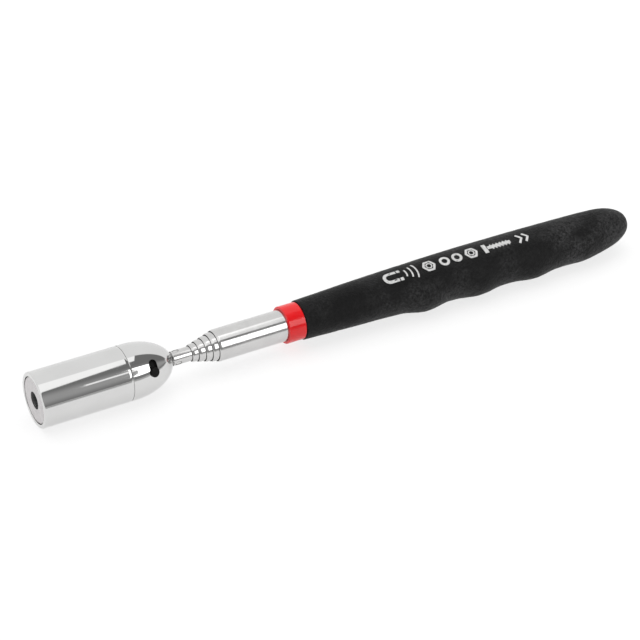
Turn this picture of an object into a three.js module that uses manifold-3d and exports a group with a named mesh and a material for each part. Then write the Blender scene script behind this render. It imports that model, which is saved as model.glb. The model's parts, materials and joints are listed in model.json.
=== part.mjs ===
// Telescopic magnetic pickup tool with a lighted head that swivels and tilts.
//
// Millimetres, +Z up. The tool lies closed and straight along +X: the magnet's face is at the low
// end and the grip's rounded tip at the high end. The origin is at the bottom centre of its box.
// Every piece is written in its distance from the magnet's face, so the last group shifts them all.

import * as THREE from 'three';
import { mergeVertices } from 'three/addons/utils/BufferGeometryUtils.js';
import Module from 'manifold-3d';

const wasm = await Module();
wasm.setup();

// ---------------------------------------------------------------- driving dimensions

const CLOSED_LENGTH = 229.8;
const HEAD_RADIUS = 9.5;
const RUNNING_GAP = 0.12; // left round a pin, a bore or a seam

// Head: a straight barrel in front of a bullet-shaped dome.
const RIM_AT = 0.1;
const BARREL_WALL = 1.2;
const BARREL_RIM_ROUND = 0.8;
const SEAM_AT = 31.3;
const SPIGOT_FROM = 26.5;
const SPIGOT_RADIUS = 8.15;
const SEAL_FROM = 29;
const SEAL_TO = 30.3;
const SEAL_FLOOR = 7.45;
const BULKHEAD_AT = 37;
const DOME_CURVE_FROM = 33.3;
const DOME_CURVE_LENGTH = 15.6;
const DOME_END = 47.9;
const HEAD_BORE = 6.9;

// Magnet, lamp and cells.
const MAGNET_RADIUS = 8;
const MAGNET_HOLE = 3;
const MAGNET_THICKNESS = 5;
const POLE_FROM = 5.3;
const POLE_TO = 6.8;
const LAMP_NOSE_AT = 2.5;
const LAMP_RADIUS = 2.45;
const LAMP_FOOT_FROM = 10.1;
const LAMP_FOOT_TO = 11.1;
const LAMP_FOOT_RADIUS = 2.9;
const HOLDER_FROM = 0.9;
const HOLDER_TO = 12;
const HOLDER_FLANGE_FROM = 7.1;
const BOARD_FROM = 14.4;
const BOARD_TO = 15.4;
const BOARD_RADIUS = 7.6;
const LEAD_FROM = 11.25;
const LEAD_TO = 14.15;
const LEAD_THICKNESS = 0.5;
const LEAD_OFFSET = 1.27; // half the lamp's 2.54 mm lead pitch
const RESISTOR_AT = 13.2;
const RESISTOR_OFFSET = 4.6;
const RESISTOR_RADIUS = 0.8;
const RESISTOR_LENGTH = 3.2;
const CELL_RADIUS = 5.8;
const CELL_CAN_RADIUS = 4.8; // the raised face of a cell's smaller pole
const CELL_HEIGHT = 5.4;
const CELL_PITCH = 5.6;
const FIRST_CELL_AT = 16;
const SLEEVE_FROM = 15.7;
const SLEEVE_TO = 32.7;
const SLEEVE_RADIUS = 6.7;
const SPRING_FROM = 33.1;
const SPRING_TO = 36;
const SPRING_WIDE_RADIUS = 5;
const SPRING_NARROW_RADIUS = 3.2;
const SPRING_WIRE_RADIUS = 0.3;
const SPRING_TURNS = 3;
const FRONT_CONTACT_RADIUS = 3;
const SWITCH_CONTACT_FROM = 36.45;
const SWITCH_CONTACT_TO = 36.85;
const SWITCH_CONTACT_RADIUS = 6.2;

// Swivel: a flat tongue in the dome's slot tilts on a cross pin, and its stud turns in tube_6.
const ROLL = THREE.MathUtils.degToRad(37); // the pin leans this far above level
const PIVOT_AT = 41.5;
const TILT_LIMIT = THREE.MathUtils.degToRad(45);
const TONGUE_HALF_WIDTH = 2.1;
const TONGUE_THICKNESS = 2.6;
const TONGUE_END = 48.55;
const SLOT_CLEARANCE = 0.15;
const PIN_RADIUS = 1;
const PIN_NEAR_END = 5.8;
const STUD_RADIUS = 2;
const STUD_NECK = 1.3;
const STUD_FROM = 48.95;
const STUD_END = 55;
const STUD_GROOVE_FROM = 49.5;
const STUD_GROOVE_TO = 51.6;
const STUD_GROOVE_RADIUS = 1.5;

// Lamp switch: a knob on a curved slide, in a round-ended slot across the dome's side.
const SWITCH_AT = 39.1;
const SWITCH_OFF = THREE.MathUtils.degToRad(20);
const SWITCH_ON = THREE.MathUtils.degToRad(40);
const SWITCH_SLOT_LENGTH = 5.44;
const SWITCH_SLOT_WIDTH = 3;
const KNOB_RADIUS = 1.7;
const KNOB_PROUD = 0.55;
const STEM_RADIUS = 1;
const SLIDE_INNER = 6.75;
const SLIDE_OUTER = 7.25;
const SLIDE_HALF_ANGLE = THREE.MathUtils.degToRad(31);
const POCKET_INNER = 6.6;
const POCKET_OUTER = 7.45;
const POCKET_MARGIN = THREE.MathUtils.degToRad(2.5);

// Antenna: tube_1 is the widest and stays in the handle, tube_6 the thinnest and holds the head.
const TUBE_MOUTHS = [64.35, 62.2, 60, 57.65, 55.5, 48.8];
const WIDEST_TUBE_RADIUS = 5.5;
const TUBE_STEP = 0.6;
const TUBE_WALL = 0.3;
const TUBE_1_END = 204;
const TUBE_2_END = 193;
const TUBE_END_STEP = 2.2;
const BUSH_LENGTH = 7;

// Handle. The swell and the rise are lists of [distance, size].
const COLLAR_FROM = 89.9;
const COLLAR_RADIUS = 6.5;
const COLLAR_EDGE = 0.25;
const GRIP_FROM = 96.4;
const CORE_RADIUS = 6;
const CORE_END = 208;
const GRIP_BORE_END = 213;
const GRIP_SWELL = [
  [GRIP_FROM, 6.72],
  [97.2, 6.88],
  [104, 7.12],
  [112, 7.4],
  [120, 7.68],
  [130, 7.93],
  [140, 8.13],
  [150, 8.32],
  [162, 8.4],
  [176, 8.34],
  [188, 8.22],
  [200, 8],
  [208, 7.85],
  [213, 7.68],
  [218, 7.42],
  [222.5, 6.7],
  [226, 5.35],
  [228.3, 3.65],
  [229.4, 1.75],
];
const FINGER_RISE = [
  [GRIP_FROM, 0],
  [128, 0],
  [142, 0.5],
  [156, 0.7],
  [178, 0.9],
  [197, 1.2],
  [208, 1.1],
  [216, 0.75],
  [221, 0.2],
  [226, 0],
  [CLOSED_LENGTH, 0],
];
const FINGER_SIDE = THREE.MathUtils.degToRad(-18); // measured up from -Y
const FINGER_BUMPS = [
  { at: 143, height: 1.5 },
  { at: 164.5, height: 1.17 },
  { at: 187.3, height: 1.15 },
  { at: 208.3, height: 0.6 },
];
const BUMP_HALF_LENGTH = 10;

// One of a round piece's facets faces straight down. At this many, the tool lies still on them.
const FACETS = 24;

// ---------------------------------------------------------------- materials

const metal = (color, roughness) => new THREE.MeshStandardMaterial({ color, roughness, metalness: 1 });
const plastic = (color, roughness) => new THREE.MeshStandardMaterial({ color, roughness, metalness: 0 });

const CHROME = metal(0xdadbdc, 0.08);
const ANTENNA_CHROME = metal(0xc9cacb, 0.22);
const MAGNET = metal(0xb9b6b8, 0.42);
const STEEL = metal(0xa8aaad, 0.4);
const SPRING_STEEL = metal(0x9a9da1, 0.3);
const BRASS = metal(0xc9a35a, 0.35);
const RED_PLASTIC = plastic(0xd81e27, 0.18);
const GRIP_RUBBER = plastic(0x1d1d1f, 0.75);
const BLACK_PLASTIC = plastic(0x141416, 0.45);
const CORE_PLASTIC = plastic(0x2b2b2e, 0.55);
const BOARD_GREEN = plastic(0x2f6b3c, 0.5);
const SEAL_RUBBER = plastic(0x1a1a1a, 0.7);
const LAMP_CLEAR = plastic(0xe8eef2, 0.1);

// ---------------------------------------------------------------- geometry helpers

// A ring-shaped or solid turned piece. The profile is a list of [distance along X, radius]. Facets
// are tangent to the true radius, and one of them faces straight down.
function turned(profile, facets) {
  const toCorner = 1 / Math.cos(Math.PI / facets);
  const points = profile.map(([along, radius]) => new THREE.Vector2(radius * toCorner, along));
  const geometry = new THREE.LatheGeometry(points, facets, Math.PI / facets);
  geometry.rotateZ(-Math.PI / 2);
  return geometry;
}

// A washer, tube or sleeve with square ends.
function ring(from, to, inner, outer, facets) {
  return turned([[from, inner], [from, outer], [to, outer], [to, inner], [from, inner]], facets);
}

// A disc or rod along X with square ends.
function disc(from, to, radius, facets) {
  return turned([[from, 0], [from, radius], [to, radius], [to, 0]], facets);
}

function toSolid(geometry) {
  const bare = geometry.clone();
  bare.deleteAttribute('normal');
  bare.deleteAttribute('uv');
  const merged = mergeVertices(bare, 1e-3);
  const vertProperties = merged.attributes.position.array;
  const triVerts = new Uint32Array(merged.index.array);
  return new wasm.Manifold(new wasm.Mesh({ numProp: 3, vertProperties, triVerts }));
}

function toGeometry(solid) {
  const mesh = solid.getMesh();
  const geometry = new THREE.BufferGeometry();
  geometry.setAttribute('position', new THREE.BufferAttribute(mesh.vertProperties, 3));
  geometry.setIndex(new THREE.BufferAttribute(mesh.triVerts, 1));
  geometry.computeVertexNormals();
  return geometry;
}

// A straight extrusion of a shape drawn in the X-Z plane, centred on Y = 0.
function slab(shape, thickness, curveSegments) {
  const options = { depth: thickness, bevelEnabled: false, curveSegments };
  const geometry = new THREE.ExtrudeGeometry(shape, options);
  geometry.translate(0, 0, -thickness / 2);
  geometry.rotateX(Math.PI / 2);
  return geometry;
}

// A sector of a tube round the X axis, its angles measured up from -Y.
function sector(from, to, inner, outer, startAngle, endAngle) {
  const outline = new THREE.Shape();
  outline.absarc(0, 0, outer, startAngle, endAngle, false);
  outline.absarc(0, 0, inner, endAngle, startAngle, true);
  const options = { depth: to - from, bevelEnabled: false, curveSegments: 10 };
  const geometry = new THREE.ExtrudeGeometry(outline, options);
  // The shape's own X is turned to -Y and its Y to +Z, which sends the extrusion to -X.
  const turn = new THREE.Matrix4().makeBasis(
    new THREE.Vector3(0, -1, 0),
    new THREE.Vector3(0, 0, 1),
    new THREE.Vector3(-1, 0, 0),
  );
  geometry.applyMatrix4(turn);
  geometry.translate(to, 0, 0);
  return geometry;
}

// A rod standing out from the X axis along local -Y, between two distances from the axis.
function radialRod(along, inner, outer, radius, facets) {
  const turn = Math.PI / facets;
  const geometry = new THREE.CylinderGeometry(radius, radius, outer - inner, facets, 1, false, turn);
  geometry.translate(along, -(inner + outer) / 2, 0);
  return geometry;
}

// ---------------------------------------------------------------- head

function domeRadius(along) {
  const reach = Math.max(0, along - DOME_CURVE_FROM) / DOME_CURVE_LENGTH;
  return HEAD_RADIUS * Math.sqrt(1 - reach * reach);
}

// The dome's outer outline from its straight part to its cut-off end, raised by `lift`.
function domeOutline(lift) {
  const steps = 11;
  const outline = [];
  const endAngle = Math.asin((DOME_END - DOME_CURVE_FROM) / DOME_CURVE_LENGTH);
  for (let step = 0; step <= steps; step += 1) {
    const along = DOME_CURVE_FROM + DOME_CURVE_LENGTH * Math.sin((endAngle * step) / steps);
    outline.push([along, domeRadius(along) + lift]);
  }
  return outline;
}

function headBarrel() {
  const bore = HEAD_RADIUS - BARREL_WALL;
  const steps = 3;
  const rim = [];
  for (let step = 0; step <= steps; step += 1) {
    const angle = (Math.PI / 2) * (step / steps);
    const along = RIM_AT + BARREL_RIM_ROUND * (1 - Math.cos(angle));
    rim.push([along, HEAD_RADIUS - BARREL_RIM_ROUND * (1 - Math.sin(angle))]);
  }
  return turned([
    [RIM_AT, bore],
    ...rim,
    [SEAM_AT, HEAD_RADIUS],
    [SEAM_AT, bore],
    [RIM_AT, bore],
  ], FACETS);
}

// The tongue's room to swing: a round end at the pivot and two straight sides, each one parallel to
// the tongue's own side when it is tilted that far.
function tiltSlot() {
  const half = TONGUE_HALF_WIDTH + SLOT_CLEARANCE;
  const reach = 20;
  const endAlong = PIVOT_AT - half * Math.sin(TILT_LIMIT) + reach * Math.cos(TILT_LIMIT);
  const endAcross = half * Math.cos(TILT_LIMIT) + reach * Math.sin(TILT_LIMIT);
  const outline = new THREE.Shape();
  outline.absarc(PIVOT_AT, 0, half, Math.PI / 2 + TILT_LIMIT, (3 * Math.PI) / 2 - TILT_LIMIT, false);
  outline.lineTo(endAlong, -endAcross);
  outline.lineTo(endAlong, endAcross);
  return slab(outline, TONGUE_THICKNESS + 2 * SLOT_CLEARANCE, 8).rotateX(-ROLL);
}

// A round-ended slot through the dome's wall, pointing along the middle of the knob's travel.
function switchSlot() {
  const radius = SWITCH_SLOT_WIDTH / 2;
  const straight = SWITCH_SLOT_LENGTH / 2 - radius;
  const outline = new THREE.Shape();
  outline.absarc(SWITCH_AT, straight, radius, 0, Math.PI, false);
  outline.absarc(SWITCH_AT, -straight, radius, Math.PI, 2 * Math.PI, false);
  const cutter = slab(outline, 4, 6);
  cutter.translate(0, -8.6, 0);
  return cutter.rotateX(-(SWITCH_OFF + SWITCH_ON) / 2);
}

function pinHole() {
  const radius = PIN_RADIUS + RUNNING_GAP;
  const hole = new THREE.CylinderGeometry(radius, radius, 16, 12);
  hole.translate(PIVOT_AT, 2, 0);
  return hole.rotateX(-ROLL);
}

function switchPocket() {
  const from = SWITCH_OFF - SLIDE_HALF_ANGLE - POCKET_MARGIN;
  const to = SWITCH_ON + SLIDE_HALF_ANGLE + POCKET_MARGIN;
  return sector(BULKHEAD_AT - 0.3, SWITCH_AT + 1.8, POCKET_INNER, POCKET_OUTER, from, to);
}

function headDome() {
  const shell = turned([
    [SPIGOT_FROM, HEAD_BORE],
    [SPIGOT_FROM, SPIGOT_RADIUS],
    [SEAL_FROM, SPIGOT_RADIUS],
    [SEAL_FROM, SEAL_FLOOR],
    [SEAL_TO, SEAL_FLOOR],
    [SEAL_TO, SPIGOT_RADIUS],
    [SEAM_AT + RUNNING_GAP, SPIGOT_RADIUS],
    [SEAM_AT + RUNNING_GAP, HEAD_RADIUS],
    ...domeOutline(0),
    [DOME_END, 0],
    [BULKHEAD_AT, 0],
    [BULKHEAD_AT, HEAD_BORE],
    [SPIGOT_FROM, HEAD_BORE],
  ], FACETS);
  let solid = toSolid(shell);
  for (const cutter of [tiltSlot(), switchSlot(), switchPocket(), pinHole()]) {
    solid = solid.subtract(toSolid(cutter));
  }
  return toGeometry(solid);
}

function pivotPin() {
  const farEnd = domeRadius(PIVOT_AT + PIN_RADIUS) - 0.1;
  const length = farEnd + PIN_NEAR_END;
  const pin = new THREE.CylinderGeometry(PIN_RADIUS, PIN_RADIUS, length, 12);
  pin.translate(PIVOT_AT, (farEnd - PIN_NEAR_END) / 2, 0);
  return pin.rotateX(-ROLL);
}

// Flat tongue with a round nose and a pin hole, and the grooved stud behind it. The stud's neck is
// no thicker than the tongue, so that it clears the dome when the head is tilted.
function swivelKnuckle() {
  const outline = new THREE.Shape();
  outline.moveTo(TONGUE_END, TONGUE_HALF_WIDTH);
  outline.lineTo(PIVOT_AT, TONGUE_HALF_WIDTH);
  outline.absarc(PIVOT_AT, 0, TONGUE_HALF_WIDTH, Math.PI / 2, (3 * Math.PI) / 2, false);
  outline.lineTo(TONGUE_END, -TONGUE_HALF_WIDTH);
  const hole = new THREE.Path();
  hole.absarc(PIVOT_AT, 0, PIN_RADIUS + RUNNING_GAP, 0, 2 * Math.PI, true);
  outline.holes.push(hole);
  const tongue = slab(outline, TONGUE_THICKNESS, 8).rotateX(-ROLL);
  const stud = turned([
    [TONGUE_END - 1, 0],
    [TONGUE_END - 1, STUD_NECK],
    [TONGUE_END, STUD_NECK],
    [STUD_FROM, STUD_RADIUS],
    [STUD_GROOVE_FROM, STUD_RADIUS],
    [STUD_GROOVE_FROM + 0.3, STUD_GROOVE_RADIUS],
    [STUD_GROOVE_TO - 0.3, STUD_GROOVE_RADIUS],
    [STUD_GROOVE_TO, STUD_RADIUS],
    [STUD_END - 0.6, STUD_RADIUS],
    [STUD_END, STUD_RADIUS - 0.6],
    [STUD_END, 0],
  ], 16);
  return toGeometry(toSolid(tongue).add(toSolid(stud)));
}

// Curved slide under the dome's wall, a stem through the slot, and a round knob that hugs the dome.
function switchSlider() {
  const slope = Math.atan2(domeRadius(SWITCH_AT - 1) - domeRadius(SWITCH_AT + 1), 2);
  const slide = toSolid(sector(SWITCH_AT - 1.7, SWITCH_AT + 1.6, SLIDE_INNER, SLIDE_OUTER,
    -SLIDE_HALF_ANGLE, SLIDE_HALF_ANGLE));
  const surface = domeRadius(SWITCH_AT);
  const stem = toSolid(radialRod(SWITCH_AT, SLIDE_OUTER - 0.3, surface + 0.3, STEM_RADIUS, 12));
  const knobDepth = 1.6;
  const knob = new THREE.CylinderGeometry(KNOB_RADIUS - 0.2, KNOB_RADIUS, knobDepth, 16);
  knob.rotateX(Math.PI);
  knob.translate(0, knobDepth / 2 - KNOB_PROUD, 0);
  knob.rotateZ(slope);
  knob.translate(SWITCH_AT, -surface, 0);
  const clearOfDome = toSolid(turned([
    [SWITCH_AT - 8, 0],
    [SWITCH_AT - 8, HEAD_RADIUS + RUNNING_GAP],
    ...domeOutline(RUNNING_GAP),
    [DOME_END, 0],
  ], 72));
  const solid = toSolid(knob).subtract(clearOfDome).add(stem).add(slide);
  return toGeometry(solid).rotateX(-SWITCH_OFF);
}

// Five-millimetre lamp: a round-nosed body on a wider foot, its nose towards the magnet's face.
function lamp() {
  const steps = 5;
  const profile = [];
  for (let step = 0; step <= steps; step += 1) {
    const angle = (Math.PI / 2) * (step / steps);
    profile.push([LAMP_NOSE_AT + LAMP_RADIUS * (1 - Math.cos(angle)), LAMP_RADIUS * Math.sin(angle)]);
  }
  profile.push(
    [LAMP_FOOT_FROM, LAMP_RADIUS],
    [LAMP_FOOT_FROM, LAMP_FOOT_RADIUS],
    [LAMP_FOOT_TO, LAMP_FOOT_RADIUS],
    [LAMP_FOOT_TO, 0],
  );
  return turned(profile, FACETS);
}

// A sleeve round the lamp, inside the magnet's hole, on a flange that fills the barrel's bore.
function lampHolder() {
  const sleeveInner = LAMP_RADIUS + 0.15;
  const sleeveOuter = MAGNET_HOLE - 0.15;
  const footBore = LAMP_FOOT_RADIUS + 0.2;
  return turned([
    [HOLDER_FROM, sleeveInner],
    [HOLDER_FROM, sleeveOuter],
    [HOLDER_FLANGE_FROM, sleeveOuter],
    [HOLDER_FLANGE_FROM, MAGNET_RADIUS],
    [HOLDER_TO, MAGNET_RADIUS],
    [HOLDER_TO, footBore],
    [LAMP_FOOT_FROM - 0.1, footBore],
    [LAMP_FOOT_FROM - 0.1, sleeveInner],
    [HOLDER_FROM, sleeveInner],
  ], FACETS);
}

// One of the lamp's two wire leads, square in section, which end on the board.
function lampLead(side) {
  const lead = new THREE.BoxGeometry(LEAD_TO - LEAD_FROM, LEAD_THICKNESS, LEAD_THICKNESS);
  lead.translate((LEAD_FROM + LEAD_TO) / 2, side * LEAD_OFFSET, 0);
  return lead;
}

function seriesResistor() {
  const body = new THREE.CylinderGeometry(RESISTOR_RADIUS, RESISTOR_RADIUS, RESISTOR_LENGTH, 10);
  body.rotateX(Math.PI / 2);
  body.translate(RESISTOR_AT, RESISTOR_OFFSET, 0);
  return body;
}

function frontContact() {
  return disc(BOARD_TO + 0.1, FIRST_CELL_AT - 0.15, FRONT_CONTACT_RADIUS, FACETS);
}

function switchContact() {
  return disc(SWITCH_CONTACT_FROM, SWITCH_CONTACT_TO, SWITCH_CONTACT_RADIUS, FACETS);
}

// An insulating tube that keeps the cells in line and off the barrel.
function batterySleeve() {
  return ring(SLEEVE_FROM, SLEEVE_TO, CELL_RADIUS + 0.25, SLEEVE_RADIUS, FACETS);
}

// A rubber ring in the spigot's groove, which grips the barrel's bore.
function sealRing() {
  const outer = HEAD_RADIUS - BARREL_WALL - 0.06;
  return ring(SEAL_FROM + 0.1, SEAL_TO - 0.1, SEAL_FLOOR + 0.05, outer, FACETS);
}

function buttonCell(index) {
  const from = FIRST_CELL_AT + CELL_PITCH * index;
  return turned([
    [from, 0],
    [from, CELL_CAN_RADIUS - 0.2],
    [from + 0.4, CELL_CAN_RADIUS],
    [from + 0.7, CELL_RADIUS],
    [from + CELL_HEIGHT, CELL_RADIUS],
    [from + CELL_HEIGHT, 0],
  ], FACETS);
}

// A conical wire spring: wide on the last cell, narrower on the switch contact.
function contactSpring() {
  const points = [];
  const count = 12 * SPRING_TURNS;
  for (let step = 0; step <= count; step += 1) {
    const share = step / count;
    const angle = 2 * Math.PI * SPRING_TURNS * share;
    const radius = THREE.MathUtils.lerp(SPRING_WIDE_RADIUS, SPRING_NARROW_RADIUS, share);
    const along = THREE.MathUtils.lerp(SPRING_FROM, SPRING_TO, share);
    points.push(new THREE.Vector3(along, radius * Math.cos(angle), radius * Math.sin(angle)));
  }
  const section = new THREE.Shape();
  section.absarc(0, 0, SPRING_WIRE_RADIUS, 0, 2 * Math.PI, false);
  const path = new THREE.CatmullRomCurve3(points);
  return new THREE.ExtrudeGeometry(section, { steps: count, extrudePath: path, curveSegments: 3 });
}

// ---------------------------------------------------------------- antenna

const tubeRadius = (number) => WIDEST_TUBE_RADIUS - TUBE_STEP * (number - 1);
const tubeFrom = (number) => TUBE_MOUTHS[number - 1];

function tubeEnd(number) {
  return number === 1 ? TUBE_1_END : TUBE_2_END - TUBE_END_STEP * (number - 2);
}

// A thin tube whose mouth is rolled in, which keeps the next section's bush inside.
function tube(number) {
  const outer = tubeRadius(number);
  const inner = outer - TUBE_WALL;
  const mouth = outer - TUBE_STEP + 0.06;
  const from = tubeFrom(number);
  return turned([
    [from, mouth],
    [from, mouth + 0.14],
    [from + 0.35, outer - 0.16],
    [from + 0.9, outer],
    [tubeEnd(number), outer],
    [tubeEnd(number), inner],
    [from + 1.1, inner],
    [from + 0.4, mouth],
    [from, mouth],
  ], FACETS);
}

// tube_6 has no smaller section in it, so its mouth stays open round the knuckle's stud.
function lastTube() {
  const outer = tubeRadius(6);
  const inner = outer - TUBE_WALL;
  return turned([
    [tubeFrom(6), inner],
    [tubeFrom(6), outer - 0.1],
    [tubeFrom(6) + 0.15, outer],
    [tubeEnd(6), outer],
    [tubeEnd(6), inner],
    [tubeFrom(6), inner],
  ], FACETS);
}

// Friction bush round the inner end of a sliding section, running in the next wider tube.
function slipBush(number) {
  const inner = tubeRadius(number) + 0.04;
  const outer = tubeRadius(number - 1) - TUBE_WALL - 0.06;
  const end = tubeEnd(number) - 0.5;
  return ring(end - BUSH_LENGTH, end, inner, outer, FACETS);
}

// ---------------------------------------------------------------- handle

function collar() {
  const inner = WIDEST_TUBE_RADIUS + 0.06;
  const to = GRIP_FROM - 0.2;
  return turned([
    [COLLAR_FROM, inner],
    [COLLAR_FROM, COLLAR_RADIUS - COLLAR_EDGE],
    [COLLAR_FROM + COLLAR_EDGE, COLLAR_RADIUS],
    [to, COLLAR_RADIUS],
    [to, inner],
    [COLLAR_FROM, inner],
  ], FACETS);
}

// The size at a distance, read between the entries of a [distance, size] list.
function readBetween(list, along) {
  const next = Math.max(1, list.findIndex(([at]) => at >= along));
  const [x0, size0] = list[next - 1];
  const [x1, size1] = list[next];
  return size0 + ((size1 - size0) * (along - x0)) / (x1 - x0);
}

// The finger side is fuller than the back and carries the bumps, each one smooth wave. Both are
// highest on the finger side and gone a quarter turn away.
function fingerHeight(along, awayFromFingers) {
  let height = readBetween(FINGER_RISE, along);
  for (const bump of FINGER_BUMPS) {
    const reach = Math.min(1, Math.abs(along - bump.at) / BUMP_HALF_LENGTH);
    height += bump.height * Math.cos((reach * Math.PI) / 2) ** 2;
  }
  return height * Math.max(0, Math.cos(awayFromFingers)) ** 1.2;
}

// One ring of the grip's skin.
function gripRing(along) {
  const points = [];
  const toCorner = 1 / Math.cos(Math.PI / FACETS);
  const swell = readBetween(GRIP_SWELL, along);
  for (let step = 0; step < FACETS; step += 1) {
    const angle = (2 * Math.PI * (step + 0.5)) / FACETS;
    const radius = (swell + fingerHeight(along, angle - FINGER_SIDE)) * toCorner;
    points.push(new THREE.Vector3(along, -radius * Math.cos(angle), radius * Math.sin(angle)));
  }
  return points;
}

// The skin is lofted ring by ring and closed at both ends, then bored for the core.
function grip() {
  const places = [GRIP_FROM, 97.2, 104, 112, 120, 127, 131];
  for (let along = 135; along <= 213; along += 3.25) {
    places.push(along);
  }
  places.push(215.5, 218, 220.5, 222.5, 224.5, 226, 227.3, 228.3, 229.4);
  const rings = places.map(gripRing);
  const positions = [];
  rings.flat().forEach((point) => positions.push(point.x, point.y, point.z));
  positions.push(GRIP_FROM, 0, 0, CLOSED_LENGTH, 0, 0);
  const frontCentre = rings.length * FACETS;
  const lastRing = (rings.length - 1) * FACETS;
  const faces = [];
  for (let side = 0; side < FACETS; side += 1) {
    const beside = (side + 1) % FACETS;
    faces.push(frontCentre, side, beside);
    faces.push(frontCentre + 1, lastRing + beside, lastRing + side);
    for (let row = 0; row < lastRing; row += FACETS) {
      faces.push(row + side, row + FACETS + side, row + FACETS + beside);
      faces.push(row + side, row + FACETS + beside, row + beside);
    }
  }
  const skin = new THREE.BufferGeometry();
  skin.setAttribute('position', new THREE.Float32BufferAttribute(positions, 3));
  skin.setIndex(faces);
  const bore = disc(GRIP_FROM - 1, GRIP_BORE_END, CORE_RADIUS + RUNNING_GAP, FACETS);
  return toGeometry(toSolid(skin).subtract(toSolid(bore)));
}

// A plastic sleeve between tube_1 and the grip.
function handleCore() {
  return ring(GRIP_FROM + 0.1, CORE_END, WIDEST_TUBE_RADIUS + 0.06, CORE_RADIUS, FACETS);
}

// ---------------------------------------------------------------- assembly

function piece(name, geometry, material) {
  const mesh = new THREE.Mesh(geometry, material);
  mesh.name = name;
  return mesh;
}

const head = new THREE.Group();
head.add(
  piece('head_barrel', headBarrel(), CHROME),
  piece('head_dome', headDome(), CHROME),
  piece('magnet_ring', ring(0, MAGNET_THICKNESS, MAGNET_HOLE, MAGNET_RADIUS, FACETS), MAGNET),
  piece('pole_plate', ring(POLE_FROM, POLE_TO, MAGNET_HOLE, MAGNET_RADIUS, FACETS), STEEL),
  piece('led', lamp(), LAMP_CLEAR),
  piece('led_holder', lampHolder(), BLACK_PLASTIC),
  piece('led_lead_anode', lampLead(1), STEEL),
  piece('led_lead_cathode', lampLead(-1), STEEL),
  piece('series_resistor', seriesResistor(), BLACK_PLASTIC),
  piece('contact_board', disc(BOARD_FROM, BOARD_TO, BOARD_RADIUS, FACETS), BOARD_GREEN),
  piece('front_contact', frontContact(), BRASS),
  piece('battery_sleeve', batterySleeve(), CORE_PLASTIC),
  piece('contact_spring', contactSpring(), SPRING_STEEL),
  piece('switch_contact', switchContact(), BRASS),
  piece('seal_ring', sealRing(), SEAL_RUBBER),
  piece('pivot_pin', pivotPin(), STEEL),
  piece('switch_slider', switchSlider(), BLACK_PLASTIC),
  piece('swivel_knuckle', swivelKnuckle(), STEEL),
);
for (let index = 0; index < 3; index += 1) {
  head.add(piece(`button_cell_${index + 1}`, buttonCell(index), STEEL));
}

const antenna = new THREE.Group();
for (let number = 1; number <= 5; number += 1) {
  antenna.add(piece(`tube_${number}`, tube(number), ANTENNA_CHROME));
}
antenna.add(piece('tube_6', lastTube(), ANTENNA_CHROME));
for (let number = 2; number <= 6; number += 1) {
  antenna.add(piece(`slip_bush_${number}`, slipBush(number), BRASS));
}

const handle = new THREE.Group();
handle.add(
  piece('collar', collar(), RED_PLASTIC),
  piece('grip', grip(), GRIP_RUBBER),
  piece('handle_core', handleCore(), CORE_PLASTIC),
  piece('tube_end_plug', disc(TUBE_1_END - 4, TUBE_1_END + 3, 5.05, FACETS), BLACK_PLASTIC),
  piece('core_end_cap', disc(CORE_END + 0.3, GRIP_BORE_END - 0.5, CORE_RADIUS - 0.1, FACETS), CORE_PLASTIC),
);

const tool = new THREE.Group();
tool.add(head, antenna, handle);
tool.position.set(-CLOSED_LENGTH / 2, 0, HEAD_RADIUS);

export default tool;
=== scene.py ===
"""Telescopic magnetic pickup tool: fine surfaces, materials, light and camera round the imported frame."""
import json
import math

import bpy
import numpy as np
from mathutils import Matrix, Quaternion, Vector, noise


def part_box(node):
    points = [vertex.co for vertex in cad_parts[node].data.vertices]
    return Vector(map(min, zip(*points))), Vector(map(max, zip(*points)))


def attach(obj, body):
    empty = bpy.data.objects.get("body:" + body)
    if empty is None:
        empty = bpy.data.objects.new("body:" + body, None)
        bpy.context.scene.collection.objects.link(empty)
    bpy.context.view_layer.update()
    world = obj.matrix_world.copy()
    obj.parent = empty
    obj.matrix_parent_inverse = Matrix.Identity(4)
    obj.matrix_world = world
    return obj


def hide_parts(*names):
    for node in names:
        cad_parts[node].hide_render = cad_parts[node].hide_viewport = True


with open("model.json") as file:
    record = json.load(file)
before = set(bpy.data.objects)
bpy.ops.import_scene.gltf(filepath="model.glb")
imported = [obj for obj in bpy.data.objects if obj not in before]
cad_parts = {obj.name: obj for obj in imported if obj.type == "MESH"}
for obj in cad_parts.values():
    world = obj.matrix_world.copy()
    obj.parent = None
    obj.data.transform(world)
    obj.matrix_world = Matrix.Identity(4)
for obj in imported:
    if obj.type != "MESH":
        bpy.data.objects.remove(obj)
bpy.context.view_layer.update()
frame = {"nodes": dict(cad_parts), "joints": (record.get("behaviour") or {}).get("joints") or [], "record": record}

# ------------------------------------------------------------------ the frame's own measures

MM = 0.001
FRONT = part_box("magnet_ring")[0].x
AXIS_Z = (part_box("head_barrel")[0].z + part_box("head_barrel")[1].z) / 2
JOINTS = {joint["name"]: joint for joint in frame["joints"]}

FACETS = 160  # round a turned piece
FINGER_SIDE = math.radians(-18)  # angles round the tool are measured up from -Y
SWITCH_OFF = math.radians(20)
SWITCH_TRAVEL = math.radians(JOINTS["lamp_switch_slide"]["range_deg"][1])
TILT_LIMIT = math.radians(JOINTS["head_tilt"]["range_deg"][1])
ROLL = math.atan2(JOINTS["head_tilt"]["axis"][2], -JOINTS["head_tilt"]["axis"][1])
PIVOT_AT = (JOINTS["head_tilt"]["pos_m"][0] - FRONT) / MM


def span(node):
    """A CAD node's start and end along the tool, from the magnet's face, and its radius, in mm."""
    low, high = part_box(node)
    return (low.x - FRONT) / MM, (high.x - FRONT) / MM, (high.y - low.y) / 2 / MM


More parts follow.
